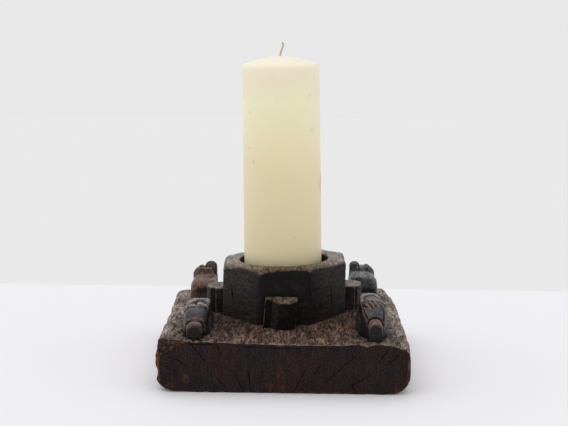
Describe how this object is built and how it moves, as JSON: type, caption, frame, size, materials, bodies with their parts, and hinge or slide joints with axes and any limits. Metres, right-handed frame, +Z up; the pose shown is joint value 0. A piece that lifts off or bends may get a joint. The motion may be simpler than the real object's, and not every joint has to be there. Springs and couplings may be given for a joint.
{
  "type": "candle holder",
  "caption": "Carved hardwood candle holder: thick hewn plank with an eight-sided cup, stepped lugs and animal-head figures, holding a pillar candle in a round well.",
  "frame": {"origin": "on the table, under the middle of the plank", "axes": "+X to the right of someone facing the front lug, +Y away from them, +Z up"},
  "size_m": [0.2152, 0.216, 0.2921],
  "materials": {
    "hewn_wood": "old dark hardwood, sawn on the ends and hewn on top, dry and dusty",
    "cup_wood": "old dark hardwood, pared by hand, satin from handling",
    "lug_wood": "old dark hardwood, pared by hand, satin from handling",
    "figure_wood": "old dark hardwood, carved, polished by handling",
    "wax": "ivory candle wax, smooth and satin",
    "cotton": "braided cotton, lightly waxed"
  },
  "bodies": {
    "carved_wood": {"base_block": "hewn_wood", "octagonal_cup": "cup_wood", "front_lug": "lug_wood", "rear_lug": "lug_wood", "left_lug": "lug_wood", "right_lug": "lug_wood", "front_left_figure": "figure_wood", "front_right_figure": "figure_wood", "rear_left_figure": "figure_wood", "rear_right_figure": "figure_wood"},
    "candle": {"candle": "wax", "wick": "cotton"}
  },
  "joints": [
    {"name": "candle_lift", "type": "slide", "parent": "carved_wood", "child": "candle", "axis": [-0.0262, 0, 0.9997], "range_m": [0, 0.06]}
  ]
}
